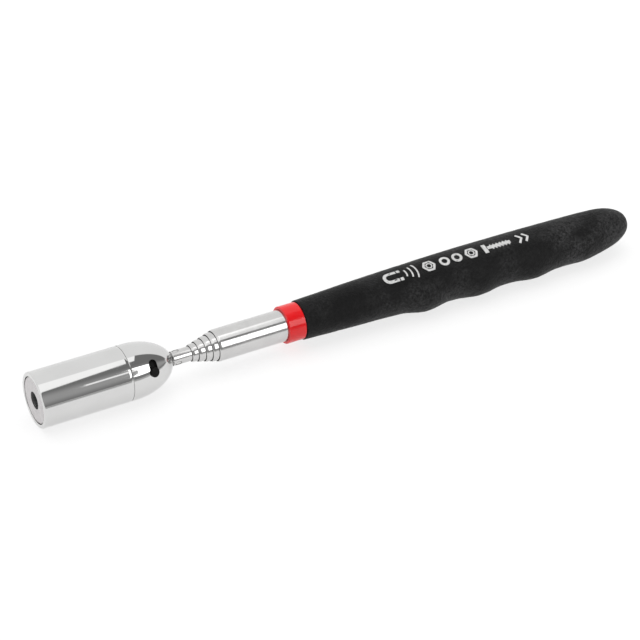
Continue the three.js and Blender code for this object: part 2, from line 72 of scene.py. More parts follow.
def place(along, radius, angle):
    """A point in the row frame from mm along the tool, mm from its axis and the angle round it."""
    return (
        FRONT + along * MM,
        -radius * MM * math.cos(angle),
        AXIS_Z + radius * MM * math.sin(angle),
    )


# ------------------------------------------------------------------ mesh helpers


def rounded(corners, steps=6):
    """An outline from (along, radius, fillet) corners, each fillet drawn as an arc."""
    outline = []
    count = len(corners)
    for i, (along, radius, fillet) in enumerate(corners):
        here = np.array([along, radius], float)
        ends = i in (0, count - 1) and np.hypot(*(np.subtract(corners[0][:2], corners[-1][:2]))) > 1e-9
        if fillet <= 0 or (ends and radius < 1e-9):
            outline.append(here)
            continue
        before = np.array(corners[i - 1][:2], float) - here
        after = np.array(corners[(i + 1) % count][:2], float) - here
        lengths = np.linalg.norm(before), np.linalg.norm(after)
        before, after = before / lengths[0], after / lengths[1]
        half = math.acos(np.clip(before @ after, -1, 1)) / 2
        reach = min(fillet / math.tan(half), 0.48 * min(lengths))
        size = reach * math.tan(half)
        middle = before + after
        centre = here + middle / np.linalg.norm(middle) * size / math.sin(half)
        first, last = here + before * reach - centre, here + after * reach - centre
        for step in range(steps + 1):
            share = step / steps
            arm = first * (1 - share) + last * share
            outline.append(centre + arm / np.linalg.norm(arm) * size)
    return np.array(outline)


def mesh_object(name, points, faces, normals=None):
    mesh = bpy.data.meshes.new(name)
    mesh.from_pydata(points, [], faces)
    mesh.validate()
    mesh.shade_smooth()
    if normals is not None:
        mesh.normals_split_custom_set_from_vertices(normals)
    piece = bpy.data.objects.new(name, mesh)
    bpy.context.scene.collection.objects.link(piece)
    return piece


def outline_normals(outline, closed):
    """The outward normal at each outline point, led by the longer of its two sides."""
    count = len(outline)
    normals = np.zeros_like(outline)
    for i in range(count if closed else count - 1):
        side = outline[(i + 1) % count] - outline[i]
        outward = np.array([side[1], -side[0]])
        normals[i] += outward
        normals[(i + 1) % count] += outward
    return normals / np.maximum(np.linalg.norm(normals, axis=1), 1e-12)[:, None]


def turned(name, corners, facets=FACETS, swell=None):
    """A piece turned about the tool's axis. Its corners close on themselves, or run from axis to
    axis. swell(along, angle, radius) may change a point's radius."""
    outline = rounded(corners)
    closed = not (corners[0][1] < 1e-9 and corners[-1][1] < 1e-9)
    along, radius = outline[:, 0], outline[:, 1]
    area = np.sum(along * np.roll(radius, -1) - np.roll(along, -1) * radius)
    if area < 0:
        outline = outline[::-1]
    slopes = outline_normals(outline, closed)
    points, normals, rows = [], [], []
    for (along, radius), (axial, radial) in zip(outline, slopes):
        if radius < 1e-9:
            rows.append([len(points)])
            points.append(place(along, 0, 0))
            normals.append((math.copysign(1, axial), 0, 0))
            continue
        row = []
        for side in range(facets):
            angle = 2 * math.pi * side / facets
            size = swell(along, angle, radius) if swell else radius
            row.append(len(points))
            points.append(place(along, size, angle))
            normals.append((axial, -radial * math.cos(angle), radial * math.sin(angle)))
        rows.append(row)
    faces = []
    for i in range(len(rows) if closed else len(rows) - 1):
        here, ahead = rows[i], rows[(i + 1) % len(rows)]
        for side in range(facets):
            beside = (side + 1) % facets
            corner = [here[side % len(here)], here[beside % len(here)]]
            corner += [ahead[beside % len(ahead)], ahead[side % len(ahead)]]
            faces.append(list(dict.fromkeys(corner)))
    return mesh_object(name, points, faces, None if swell else normals)


def prism(name, outline, low, high, turn):
    """A straight-sided block: an (along, across) outline, thick from low to high towards the
    local -Y side, then rolled about the tool's axis by the angle turn."""
    count = len(outline)
    points = []
    for depth in (low, high):
        for along, across in outline:
            radius = math.hypot(depth, across)
            angle = math.atan2(across, depth) + turn
            points.append(place(along, radius, angle))
    faces = [list(range(count)), list(range(2 * count - 1, count - 1, -1))]
    for i in range(count):
        beside = (i + 1) % count
        faces.append([i, i + count, beside + count, beside])
    return facing_out(mesh_object(name, points, faces))


def sector(name, start, end, inner, outer, first, last, steps=40):
    """Part of a tube about the tool's axis, between two angles."""
    angles = np.linspace(first, last, steps + 1)
    points = []
    for angle in angles:
        for along, radius in ((start, inner), (end, inner), (end, outer), (start, outer)):
            points.append(place(along, radius, angle))
    faces = [[0, 1, 2, 3], [4 * steps + 3, 4 * steps + 2, 4 * steps + 1, 4 * steps]]
    for step in range(steps):
        for side in range(4):
            beside = (side + 1) % 4
            faces.append([4 * step + side, 4 * step + 4 + side, 4 * step + 4 + beside, 4 * step + beside])
    return facing_out(mesh_object(name, points, faces))


def facing_out(piece):
    """Turns a closed piece's faces outwards."""
    mesh = piece.data
    mesh.calc_loop_triangles()
    volume = 0.0
    for triangle in mesh.loop_triangles:
        a, b, c = (mesh.vertices[i].co for i in triangle.vertices)
        volume += a.dot(b.cross(c))
    if volume < 0:
        mesh.flip_normals()
    return piece


def arc(centre, radius, first, last, steps=24):
    """Points of an (along, across) arc."""
    return [
        (centre[0] + radius * math.cos(a), centre[1] + radius * math.sin(a))
        for a in np.linspace(first, last, steps + 1)
    ]


def radial_rod(name, along, low, high, radius, turn, lean=0.0, steps=48):
    """A rod standing out from the axis at the angle turn, leaned towards the tool's far end."""
    points, faces = [], []
    for height in (low, high):
        for step in range(steps):
            a = 2 * math.pi * step / steps
            ahead, across = radius * math.cos(a), radius * math.sin(a)
            reach = height - ahead * math.sin(lean)
            forward = along + ahead * math.cos(lean) + (height - (low + high) / 2) * math.tan(lean)
            points.append(place(forward, math.hypot(reach, across), math.atan2(across, reach) + turn))
    faces = [list(range(steps)), list(range(2 * steps - 1, steps - 1, -1))]
    for i in range(steps):
        beside = (i + 1) % steps
        faces.append([i, i + steps, beside + steps, beside])
    return facing_out(mesh_object(name, points, faces))


def combine(piece, others, operation):
    """Joins other closed pieces to this one, or cuts them out of it, and removes them."""
    for other in others:
        change = piece.modifiers.new(operation, "BOOLEAN")
        change.operation = operation
        change.solver = "EXACT"
        change.object = other
    settle(piece)
    for other in others:
        bpy.data.objects.remove(other)
    return piece


def settle(piece):
    """Makes a piece's modifiers part of its mesh."""
    shape = piece.evaluated_get(bpy.context.evaluated_depsgraph_get())
    mesh = bpy.data.meshes.new_from_object(shape)
    piece.modifiers.clear()
    piece.data = mesh
    return piece


def eased(piece, width, segments=3):
    """Rounds a piece's sharp edges by that many mm."""
    edges = piece.modifiers.new("edges", "BEVEL")
    edges.width = width * MM
    edges.segments = segments
    edges.limit_method = "ANGLE"
    edges.angle_limit = math.radians(40)
    return settle(piece)


def crisp(piece):
    """Shades a piece smoothly between its sharp edges."""
    piece.data.shade_smooth()
    piece.data.set_sharp_from_angle(angle=math.radians(35))
    return piece


def finish_piece(piece, body, slot, material, *nodes):
    """Puts a finished piece on its body, with its material, in place of its CAD nodes. Its slot is not used."""
    piece.data.materials.clear()
    piece.data.materials.append(material)
    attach(piece, body)
    if nodes:
        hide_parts(*nodes)
    return piece


def paint_faces(piece, material, chosen):
    """Gives a second material to the faces that chosen(along, radius, angle, normal) picks."""
    piece.data.materials.append(material)
    for face in piece.data.polygons:
        along = (face.center.x - FRONT) / MM
        radius = math.hypot(face.center.y, face.center.z - AXIS_Z) / MM
        angle = math.atan2(face.center.z - AXIS_Z, -face.center.y)
        if chosen(along, radius, angle, face.normal):
            face.material_index = 1


# ------------------------------------------------------------------ materials


class Finish:
    """A node material with one Principled shader, driven by noise in the piece's own space."""

    def __init__(self, name, colour, metallic=0.0, roughness=0.5):
        self.material = bpy.data.materials.new(name)
        self.material.use_nodes = True
        self.tree = self.material.node_tree
        self.shader = self.tree.nodes["Principled BSDF"]
        self.shader.inputs["Base Color"].default_value = (*colour, 1)
        self.shader.inputs["Metallic"].default_value = metallic
        self.shader.inputs["Roughness"].default_value = roughness
        self.space = self.node("ShaderNodeTexCoord").outputs["Object"]

    def node(self, kind, **settings):
        made = self.tree.nodes.new(kind)
        for key, value in settings.items():
            setattr(made, key, value)
        return made

    def link(self, source, target):
        self.tree.links.new(source, target)

    def stretched(self, x, y, z):
        mapping = self.node("ShaderNodeMapping")
        mapping.inputs["Scale"].default_value = (x, y, z)
        self.link(self.space, mapping.inputs["Vector"])
        return mapping.outputs["Vector"]

    def noise(self, size_mm, detail=3.0, space=None, roughness=0.5):
        """Noise whose largest features are about size_mm across."""
        texture = self.node("ShaderNodeTexNoise")
        texture.inputs["Scale"].default_value = 1 / (size_mm * MM)
        texture.inputs["Detail"].default_value = detail
        texture.inputs["Roughness"].default_value = roughness
        self.link(space or self.space, texture.inputs["Vector"])
        return texture.outputs["Fac"]

    def ranged(self, source, low, high, start=0.3, end=0.7):
        spread = self.node("ShaderNodeMapRange")
        spread.inputs["From Min"].default_value = start
        spread.inputs["From Max"].default_value = end
        spread.inputs["To Min"].default_value = low
        spread.inputs["To Max"].default_value = high
        self.link(source, spread.inputs["Value"])
        return spread.outputs["Result"]

    def product(self, first, second):
        times = self.node("ShaderNodeMath", operation="MULTIPLY")
        self.link(first, times.inputs[0])
        self.link(second, times.inputs[1])
        return times.outputs[0]

    def mixed(self, source, first, second):
        blend = self.node("ShaderNodeMix", data_type="RGBA")
        blend.inputs["A"].default_value = (*first, 1)
        blend.inputs["B"].default_value = (*second, 1)
        self.link(source, blend.inputs["Factor"])
        return blend.outputs["Result"]

    def colour(self, source, first, second, start=0.3, end=0.7):
        self.link(self.mixed(self.ranged(source, 0, 1, start, end), first, second),
                  self.shader.inputs["Base Color"])
        return self

    def roughness(self, source, low, high, start=0.3, end=0.7):
        self.link(self.ranged(source, low, high, start, end), self.shader.inputs["Roughness"])
        return self

    def bump(self, source, depth_mm, strength=1.0):
        """Adds relief of that depth; a second call adds to the first."""
        relief = self.node("ShaderNodeBump")
        relief.inputs["Strength"].default_value = strength
        relief.inputs["Distance"].default_value = depth_mm * MM
        self.link(source, relief.inputs["Height"])
        normal = self.shader.inputs["Normal"]
        if normal.is_linked:
            self.link(normal.links[0].from_socket, relief.inputs["Normal"])
        self.link(relief.outputs["Normal"], normal)
        return self


def head_chrome():
    """Bright plate: almost a mirror, with faint handling marks and hairline polishing."""
    finish = Finish("head_chrome", (0.69, 0.69, 0.685), 1.0, 0.03)
    finish.roughness(finish.noise(6, 4), 0.02, 0.055)
    finish.colour(finish.noise(9, 2), (0.68, 0.68, 0.675), (0.71, 0.71, 0.705))
    hairlines = finish.noise(0.25, 2, finish.stretched(0.04, 1, 1))
    finish.bump(hairlines, 0.0004)
    return finish.material


def antenna_chrome():
    """Drawn tube: satin along its length, so lights smear round it."""
    finish = Finish("antenna_chrome", (0.64, 0.635, 0.63), 1.0, 0.14)
    drawn = finish.noise(0.35, 3, finish.stretched(0.03, 1, 1))
    finish.roughness(drawn, 0.1, 0.19)
    finish.bump(drawn, 0.0012)
    finish.colour(finish.noise(5, 2), (0.62, 0.615, 0.61), (0.67, 0.665, 0.66))
    return finish.material


def magnet_nickel():
    """Nickel plate over a pressed magnet: satin, with faint turned rings, fine grain and nicks."""
    finish = Finish("magnet_nickel", (0.6, 0.58, 0.58), 1.0, 0.34)
    finish.colour(finish.noise(1.2, 5), (0.55, 0.53, 0.535), (0.64, 0.62, 0.62))
    finish.roughness(finish.noise(0.7, 4), 0.26, 0.42)
    centre = finish.node("ShaderNodeMapping")
    centre.inputs["Location"].default_value = (0, 0, -AXIS_Z)
    finish.link(finish.space, centre.inputs["Vector"])
    rings = finish.node("ShaderNodeTexWave", wave_type="RINGS", rings_direction="X")
    rings.inputs["Scale"].default_value = 520
    rings.inputs["Distortion"].default_value = 1.5
    rings.inputs["Detail"].default_value = 2
    finish.link(centre.outputs["Vector"], rings.inputs["Vector"])
    finish.bump(rings.outputs["Fac"], 0.006)
    finish.bump(finish.noise(0.3, 4), 0.012)
    return finish.material


def plain_steel():
    finish = Finish("plain_steel", (0.5, 0.5, 0.5), 1.0, 0.3)
    finish.colour(finish.noise(1.5, 4), (0.44, 0.44, 0.44), (0.56, 0.56, 0.555))
    finish.roughness(finish.noise(0.8, 3), 0.2, 0.38)
    finish.bump(finish.noise(0.4, 3, finish.stretched(0.2, 1, 1)), 0.004)
    return finish.material


def spring_steel():
    finish = Finish("spring_steel", (0.42, 0.43, 0.45), 1.0, 0.25)
    finish.roughness(finish.noise(0.6, 3), 0.18, 0.36)
    finish.bump(finish.noise(0.2, 2), 0.003)
    return finish.material


def cut_steel_and_dent_shade():
    """Steel that the plating doesn't cover at a tube's cut edge, dull with oxide; on the rims of the
    crimped dents the same dark colour is painted shade."""
    finish = Finish("cut_steel_and_dent_shade", (0.1, 0.1, 0.1), 1.0, 0.45)
    finish.colour(finish.noise(0.6, 4), (0.07, 0.07, 0.07), (0.16, 0.155, 0.15))
    finish.roughness(finish.noise(0.4, 3), 0.38, 0.55)
    finish.bump(finish.noise(0.15, 3), 0.004)
    return finish.material


def bare_brass():
    finish = Finish("bare_brass", (0.72, 0.52, 0.24), 1.0, 0.3)
    finish.colour(finish.noise(1.8, 4), (0.62, 0.42, 0.18), (0.78, 0.58, 0.28))
    finish.roughness(finish.noise(0.9, 3), 0.22, 0.42)
    finish.bump(finish.noise(0.4, 3), 0.004)
    return finish.material


def red_plastic():
    """Moulded gloss red: clear surface with the slightest orange peel."""
    finish = Finish("red_plastic", (0.76, 0.004, 0.007), 0.0, 0.12)
    finish.colour(finish.noise(4, 3), (0.72, 0.003, 0.006), (0.8, 0.006, 0.01))
    finish.roughness(finish.noise(1.5, 3), 0.1, 0.2)
    finish.bump(finish.noise(0.9, 2), 0.004)
    return finish.material


def grip_rubber():
    """Foamed black rubber: a pebbled skin with small open cells, and fine pale specks, mostly on the
    rear bumps of the finger side: partly dust, partly painted sheen standing in for soft highlights there."""
    finish = Finish("grip_rubber", (0.008, 0.008, 0.0085), 0.0, 0.5)
    pebble = finish.noise(1.1, 4, roughness=0.65)
    cells = finish.node("ShaderNodeTexVoronoi", feature="F1")
    cells.inputs["Scale"].default_value = 1 / (0.6 * MM)
    finish.link(finish.space, cells.inputs["Vector"])
    finish.bump(finish.ranged(cells.outputs["Distance"], 1, 0, 0.0, 0.7), 0.09)
    finish.bump(pebble, 0.16)
    place_on_grip = finish.node("ShaderNodeSeparateXYZ")
    finish.link(finish.space, place_on_grip.inputs["Vector"])
    rearward = finish.ranged(place_on_grip.outputs["X"], 0.35, 1, -0.01, 0.07)
    fingerward = finish.ranged(place_on_grip.outputs["Y"], 1, 0.4, -0.007, 0.001)
    patches = finish.ranged(finish.noise(13, 2), 0.15, 1, 0.42, 0.6)
    specks = finish.ranged(finish.noise(1.0, 6, roughness=0.85), 0, 1, 0.42, 0.66)
    # painted sheen with dust: pale specks lighten the rear of the finger side, where soft highlights fall
    dust_and_sheen = finish.product(finish.product(rearward, fingerward), finish.product(patches, specks))
    finish.colour(dust_and_sheen, (0.0025, 0.0025, 0.0026), (0.062, 0.062, 0.063), 0, 1)
    finish.roughness(pebble, 0.38, 0.64)
    finish.shader.inputs["Specular IOR Level"].default_value = 0.17
    return finish.material


def screen_ink():
    """White screen-print ink on rubber, thin enough to show the skin's grain."""
    finish = Finish("screen_ink", (0.6, 0.6, 0.6), 0.0, 0.6)
    finish.colour(finish.noise(0.7, 5, roughness=0.7), (0.42, 0.42, 0.42), (0.72, 0.72, 0.71))
    finish.bump(finish.noise(0.8, 4), 0.05)
    return finish.material


def moulded_black(name, level):
    finish = Finish(name, (level, level, level * 1.05), 0.0, 0.4)
    finish.shader.inputs["Specular IOR Level"].default_value = 0.12
    finish.colour(finish.noise(0.45, 3), (level * 0.3,) * 3, (level * 2.5,) * 3)
    finish.roughness(finish.noise(0.6, 3), 0.32, 0.5)
    finish.bump(finish.noise(0.18, 3), 0.006)
    return finish.material


def circuit_board():
    finish = Finish("circuit_board", (0.03, 0.14, 0.05), 0.0, 0.3)
    finish.colour(finish.noise(0.8, 3), (0.02, 0.11, 0.04), (0.04, 0.17, 0.06))
    finish.bump(finish.noise(0.5, 2), 0.01)
    return finish.material


def clear_resin():
    finish = Finish("clear_resin", (0.93, 0.95, 0.97), 0.0, 0.05)
    finish.shader.inputs["Transmission Weight"].default_value = 0.85
    finish.shader.inputs["IOR"].default_value = 1.52
    finish.roughness(finish.noise(1.0, 3), 0.03, 0.09)
    finish.bump(finish.noise(0.8, 2), 0.003)
    return finish.material


CHROME = head_chrome()
ANTENNA = antenna_chrome()
MAGNET = magnet_nickel()
STEEL = plain_steel()
SPRING = spring_steel()
CUT_STEEL_AND_DENT_SHADE = cut_steel_and_dent_shade()
BRASS = bare_brass()
RED = red_plastic()
RUBBER = grip_rubber()
BLACK = moulded_black("black_plastic", 0.004)
CORE = moulded_black("core_plastic", 0.035)
SEAL = moulded_black("seal_rubber", 0.018)
HOLDER = moulded_black("lamp_holder_plastic", 0.07)
INK = screen_ink()
BOARD = circuit_board()
RESIN = clear_resin()

SLOT_FINISH = {
    "chrome": CHROME,
    "antenna_chrome": ANTENNA,
    "magnet": MAGNET,
    "steel": STEEL,
    "spring_steel": SPRING,
    "brass": BRASS,
    "red_plastic": RED,
    "grip_rubber": RUBBER,
    "black_plastic": BLACK,
    "core_plastic": CORE,
    "board": BOARD,
    "seal": SEAL,
    "lamp": RESIN,
}


def finish_cad_nodes():
    """Every CAD node takes the procedural material of its slot."""
    for part in frame["record"]["subparts"]:
        node = frame["nodes"][part["node"]]
        node.data.materials.clear()
        node.data.materials.append(SLOT_FINISH[part["material_slot"]])


# ------------------------------------------------------------------ head

DOME_CURVE_FROM = 33.3
DOME_CURVE_LENGTH = 15.6
HEAD_BORE = 6.9
BARREL_WALL = 1.2
SPIGOT = 8.15  # the dome's front, which the barrel slides over
SEAL_GROOVE = (29, 30.3)
SEAL_GROOVE_RADIUS = 7.45
BULKHEAD = 37
SWITCH_AT = (JOINTS["lamp_switch_slide"]["pos_m"][0] - FRONT) / MM
SWITCH_SLOT = (5.44, 3.0)
SWITCH_POCKET = (6.6, 7.45)  # the slide's room inside the dome, from radius to radius
POCKET_SPREAD = math.radians(33.5)
PAST_SKIN = 10.6
SLIDE = (6.75, 7.25)  # the slide itself, likewise
SLIDE_SPREAD = math.radians(31)
KNOB_RADIUS = 1.65
KNOB_RISE = (0.13, 0.55)  # its foot and its top above the dome
TONGUE = (2.1, 1.3)  # half its width and half its thickness
TONGUE_END = 48.55
STUD_RADIUS = 2
GROOVE = (49.5, 51.6)
GROOVE_RADIUS = 1.5
STUD_END = 55
SLOT_GAP = 0.15
PIN_RADIUS = 1
PIN_GAP = 0.1
PIN_SUNK = 0.12
RIM_AT = 0.02
RIM_BORE = 8.07  # close round the magnet for RIM_LENGTH
RIM_LENGTH = 4
RIM_ROUND = 0.5
MAGNET_HOLE = 3
MAGNET_SET_BACK = 0.2
MAGNET_EDGE = 0.3
MAGNET_GAP = 0.12
LENS_FLANGE = (1, 0.45)  # its length, and how far it stands out
HOLDER_BORE = 2.6
HOLDER_FOOT_BORE = 3.1
HOLDER_FOOT_AT = 10
HOLDER_SLEEVE = 2.85
HOLDER_FLANGE_AT = 7.1
SEAM_ROUND = 0.12
SEAM_TAPER = (0.95, 0.2)  # the barrel's rear edge is eased over this length, by this much
SEAM_GAP = 0.03


def barrel():
    """The front half: a rim close round the magnet, and a rear edge eased towards the seam."""
    _, end, radius = span("head_barrel")
    bore = radius - BARREL_WALL
    length, drop = SEAM_TAPER
    taper = [
        (end - length * (1 - share), radius - drop * share**2, 0)
        for share in np.linspace(1, 0, 13)
    ]
    corners = [
        (RIM_AT, RIM_BORE, 0.12),
        (RIM_LENGTH, RIM_BORE, 0.05),
        (RIM_LENGTH, bore, 0.05),
        (end, bore, 0.1),
        (end, radius - drop - 0.06, 0),
        *taper,
        (RIM_AT, radius, RIM_ROUND),
    ]
    piece = turned("head_barrel_shell", corners, 224)
    finish_piece(piece, "head", "chrome", CHROME, "head_barrel")


def dome_radius(along, widest):
    reach = np.clip((along - DOME_CURVE_FROM) / DOME_CURVE_LENGTH, 0, 1)
    return widest * np.sqrt(1 - reach**2)


def dome():
    """The bullet-shaped rear half: slotted for the tongue, the switch and the pin."""
    start, end, widest = span("head_dome")
    seam = span("head_barrel")[1] + SEAM_GAP
    last_angle = math.asin((end - DOME_CURVE_FROM) / DOME_CURVE_LENGTH)
    curve = []
    for angle in np.linspace(0, last_angle, 60):
        along = DOME_CURVE_FROM + DOME_CURVE_LENGTH * math.sin(angle)
        curve.append((along, float(dome_radius(along, widest)), 0))
    corners = [
        (start, HEAD_BORE, 0),
        (start, SPIGOT, 0),
        (SEAL_GROOVE[0], SPIGOT, 0),
        (SEAL_GROOVE[0], SEAL_GROOVE_RADIUS, 0),
        (SEAL_GROOVE[1], SEAL_GROOVE_RADIUS, 0),
        (SEAL_GROOVE[1], SPIGOT, 0),
        (seam, SPIGOT, 0),
        (seam, widest, SEAM_ROUND),
        *curve,
        (end, 0, 0),
    ]
    body = turned("head_dome_shell", [(BULKHEAD, 0, 0), (BULKHEAD, HEAD_BORE, 0), *corners])

    half = TONGUE[0] + SLOT_GAP
    nose = arc((PIVOT_AT, 0), half, math.pi / 2 + TILT_LIMIT, 3 * math.pi / 2 - TILT_LIMIT)
    fan_length = 20
    fan_end = PIVOT_AT - half * math.sin(TILT_LIMIT) + fan_length * math.cos(TILT_LIMIT)
    fan_side = half * math.cos(TILT_LIMIT) + fan_length * math.sin(TILT_LIMIT)
    fan = [*nose, (fan_end, -fan_side), (fan_end, fan_side)]
    thick = TONGUE[1] + SLOT_GAP
    tilt_slot = prism("tilt_slot", fan, -thick, thick, ROLL)

    round_end = SWITCH_SLOT[1] / 2
    straight = SWITCH_SLOT[0] / 2 - round_end
    stadium = arc((SWITCH_AT, straight), round_end, 0, math.pi)
    stadium += arc((SWITCH_AT, -straight), round_end, math.pi, 2 * math.pi)
    middle = SWITCH_OFF + SWITCH_TRAVEL / 2
    switch_slot = prism("switch_slot", stadium, SWITCH_POCKET[0], PAST_SKIN, middle)
    pocket = sector("switch_pocket", BULKHEAD - 0.3, SWITCH_AT + 1.8, *SWITCH_POCKET,
                    SWITCH_OFF - POCKET_SPREAD, SWITCH_OFF + SWITCH_TRAVEL + POCKET_SPREAD)
    pin_hole = radial_rod("pin_hole", PIVOT_AT, -10, 6, PIN_RADIUS + PIN_GAP, ROLL)
    combine(body, [tilt_slot, switch_slot, pocket, pin_hole], "DIFFERENCE")
    polish_dome(crisp(body), widest)
    finish_piece(body, "head", "chrome", CHROME, "head_dome")


def polish_dome(piece, widest):
    """Gives the outer skin the curve's exact normals, so that it mirrors cleanly up to the edges of
    its slots; the slots' walls keep their own."""
    mesh = piece.data
    normals = [Vector(corner.vector) for corner in mesh.corner_normals]
    for face in mesh.polygons:
        for corner in face.loop_indices:
            spot = mesh.vertices[mesh.loops[corner].vertex_index].co
            along = (spot.x - FRONT) / MM
            across = Vector((0, spot.y, spot.z - AXIS_Z)) / MM
            reach = min(max((along - DOME_CURVE_FROM) / DOME_CURVE_LENGTH, 0), 0.999)
            slope = widest / DOME_CURVE_LENGTH * reach / math.sqrt(1 - reach**2)
            exact = (across.normalized() + Vector((slope, 0, 0))).normalized()
            on_skin = abs(across.length - float(dome_radius(along, widest))) < 0.03
            if on_skin and exact.dot(face.normal) > 0.96:
                normals[corner] = exact
    mesh.normals_split_custom_set([tuple(normal) for normal in normals])


def magnet():
    """Ring magnet with eased edges, set a little behind the rim."""
    start, end, radius = span("magnet_ring")
    radius -= MAGNET_GAP
    corners = [
        (start + MAGNET_SET_BACK, MAGNET_HOLE, 0.12),
        (end, MAGNET_HOLE, 0.12),
        (end, radius, 0.12),
        (start + MAGNET_SET_BACK, radius, MAGNET_EDGE),
    ]
    piece = turned("magnet_ring_fine", corners, 200)
    finish_piece(piece, "head", "magnet", MAGNET, "magnet_ring")


def lamp():
    """Clear round-nosed lens on a flange."""
    start, end, foot = span("led")
    radius = foot - LENS_FLANGE[1]
    flange = end - LENS_FLANGE[0]
    nose = [
        (start + radius * (1 - math.cos(a)), radius * math.sin(a), 0)
        for a in np.linspace(0, math.pi / 2, 24)
    ]
    corners = [*nose, (flange, radius, 0.05), (flange, foot, 0.1), (end, foot, 0.1), (end, 0, 0)]
    lens = turned("led_lens", corners, 96)
    finish_piece(lens, "head", "lamp", RESIN, "led")


def lamp_holder():
    """Sleeve in the magnet's hole, with a flange behind the magnet."""
    start, end, radius = span("led_holder")
    corners = [
        (start, HOLDER_BORE, 0.08),
        (HOLDER_FOOT_AT, HOLDER_BORE, 0.08),
        (HOLDER_FOOT_AT, HOLDER_FOOT_BORE, 0.05),
        (end, HOLDER_FOOT_BORE, 0.1),
        (end, radius, 0.2),
        (HOLDER_FLANGE_AT, radius, 0.2),
        (HOLDER_FLANGE_AT, HOLDER_SLEEVE, 0.1),
        (start, HOLDER_SLEEVE, 0.08),
    ]
    piece = turned("led_holder_fine", corners, 96)
    finish_piece(piece, "head", "black_plastic", HOLDER, "led_holder")


def pivot_pin():
    """Cross pin with slightly domed ends, sunk below the dome's far side."""
    far_end = float(dome_radius(PIVOT_AT + PIN_RADIUS, span("head_dome")[2])) - PIN_SUNK
    pin = radial_rod("pivot_pin_fine", PIVOT_AT, -far_end, 5.8, PIN_RADIUS, ROLL)
    crisp(eased(pin, 0.2))
    finish_piece(pin, "head", "steel", STEEL, "pivot_pin")


def knuckle():
    """Flat tongue with a round nose and pin hole, and a grooved stud that turns in tube_6."""
    half, thick = TONGUE
    outline = [(TONGUE_END, -half), (TONGUE_END, half)]
    outline += arc((PIVOT_AT, 0), half, math.pi / 2, 3 * math.pi / 2, 32)
    tongue = prism("swivel_tongue", outline, -thick, thick, ROLL)
    stud = turned("stud", [
        (TONGUE_END - 1, 0, 0),
        (TONGUE_END - 1, thick, 0),
        (TONGUE_END, thick, 0),
        (48.95, STUD_RADIUS, 0),
        (GROOVE[0], STUD_RADIUS, 0),
        (GROOVE[0] + 0.3, GROOVE_RADIUS, 0),
        (GROOVE[1] - 0.3, GROOVE_RADIUS, 0),
        (GROOVE[1], STUD_RADIUS, 0),
        (STUD_END - 0.6, STUD_RADIUS, 0),
        (STUD_END, STUD_RADIUS - 0.6, 0),
        (STUD_END, 0, 0),
    ], 64)
    combine(tongue, [stud], "UNION")
    hole = radial_rod("hole", PIVOT_AT, -3, 3, PIN_RADIUS + PIN_GAP, ROLL)
    combine(tongue, [hole], "DIFFERENCE")
    crisp(tongue)
    finish_piece(tongue, "swivel", "steel", STEEL, "swivel_knuckle")


def switch():
    """Curved slide, stem and a round knob with an eased edge."""
    widest = span("head_dome")[2]
    surface = float(dome_radius(SWITCH_AT, widest))
    drop = float(dome_radius(SWITCH_AT - 1, widest) - dome_radius(SWITCH_AT + 1, widest)) / 2
    lean = math.atan(drop)
    slide = sector("lamp_switch_knob", SWITCH_AT - 1.7, SWITCH_AT + 1.6, *SLIDE,
                   SWITCH_OFF - SLIDE_SPREAD, SWITCH_OFF + SLIDE_SPREAD)
    stem = radial_rod("stem", SWITCH_AT, 7, surface + 0.3, 1, SWITCH_OFF)
    foot, top = surface + KNOB_RISE[0], surface + KNOB_RISE[1]
    knob = radial_rod("knob", SWITCH_AT, foot, top, KNOB_RADIUS, SWITCH_OFF, lean)
    combine(slide, [stem, eased(knob, 0.14)], "UNION")
    crisp(slide)
    finish_piece(slide, "lamp_switch", "black_plastic", BLACK, "switch_slider")


# ------------------------------------------------------------------ antenna

TUBE_WALL = 0.3
TUBE_STEP = 0.6
LIP_LENGTH = 0.95
LIP_LAND = 0.45
LIP_TAPER_END = 1.15
MOUTH_GAP = 0.17  # between a rolled mouth and the next tube


def tube(number):
    """A thin drawn tube with a rolled mouth that keeps the next section's bush inside."""
    node = f"tube_{number}"
    start, end, outer = span(node)
    inner = outer - TUBE_WALL
    mouth = outer - TUBE_STEP + MOUTH_GAP
    lip = [
        (start + LIP_LENGTH * (1 - math.cos(a)), mouth + (outer - mouth) * math.sin(a), 0)
        for a in np.linspace(math.pi / 2, math.radians(12), 16)
    ]
    corners = [
        (start, mouth, 0),
        (start + LIP_LAND, mouth, 0.1),
        (start + LIP_TAPER_END, inner, 0.1),
        (end, inner, 0.05),
        (end, outer, 0.1),
        *lip,
        (start + 0.02, mouth + 0.04, 0),
    ]
    piece = turned(f"{node}_fine", corners, 128)
    body = "handle" if number == 1 else f"section_{number}"
    finish_piece(piece, body, "antenna_chrome", ANTENNA, node)

    def bare_or_shaded(along, radius, _angle, normal):
        return along < start + 0.6 and (normal.x < -0.85 or radius < mouth + 0.03)

    paint_faces(piece, CUT_STEEL_AND_DENT_SHADE, bare_or_shaded)
    return piece


DIMPLE_AT = (GROOVE[0] + GROOVE[1]) / 2
DIMPLE_ANGLES = [math.radians(turn) for turn in (-22, 98, 218)]
DIMPLE_SIZE = (1.15, 0.36)  # half its length in mm, half its spread round the tube in radians
DIMPLE_DEPTH = 0.6
DIMPLE_ROWS_TO = 52.2
DIMPLE_ROW = 0.04


def dimple_reach(along, angle):
    """How far a place is from the nearest crimp dimple's middle: 1 at its rim."""
    reach = 2.0
    for centre in DIMPLE_ANGLES:
        away = (angle - centre + math.pi) % (2 * math.pi) - math.pi
        reach = min(reach, math.hypot((along - DIMPLE_AT) / DIMPLE_SIZE[0], away / DIMPLE_SIZE[1]))
    return reach


